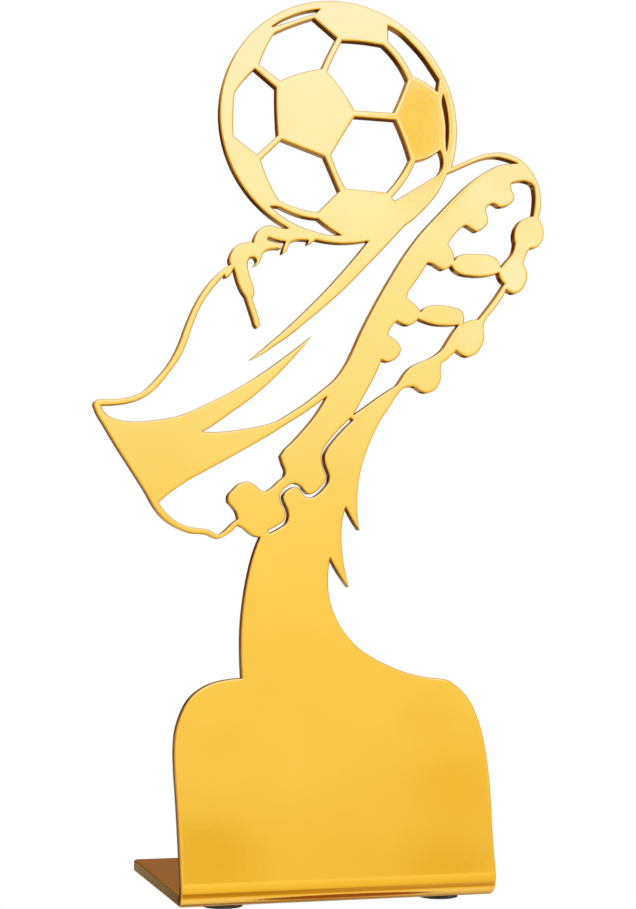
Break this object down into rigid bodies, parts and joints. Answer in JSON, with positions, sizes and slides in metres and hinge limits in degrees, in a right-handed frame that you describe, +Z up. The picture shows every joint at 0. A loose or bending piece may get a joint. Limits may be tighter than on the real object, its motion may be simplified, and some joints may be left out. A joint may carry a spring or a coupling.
{
  "type": "figure trophy",
  "caption": "Flat cut-plate figure trophy showing a football above a boot, its lower end bent back into a standing foot",
  "frame": {"origin": "centre of the overall bounding box at its base, on the plane the pads stand on", "axes": "+Z up the figure, -Y out of the front face of the plate, +Y along the foot to the back, +X to the right as seen from the front"},
  "size_m": [0.1166, 0.065, 0.226],
  "materials": {
    "gold_plated_steel": "polished gold plating on laser-cut sheet steel",
    "dark_rubber": "matte black self-adhesive pad"
  },
  "bodies": {
    "root": {"figure_plate": "gold_plated_steel", "pad_front_left": "dark_rubber", "pad_front_right": "dark_rubber", "pad_back_left": "dark_rubber", "pad_back_right": "dark_rubber"}
  },
  "joints": []
}
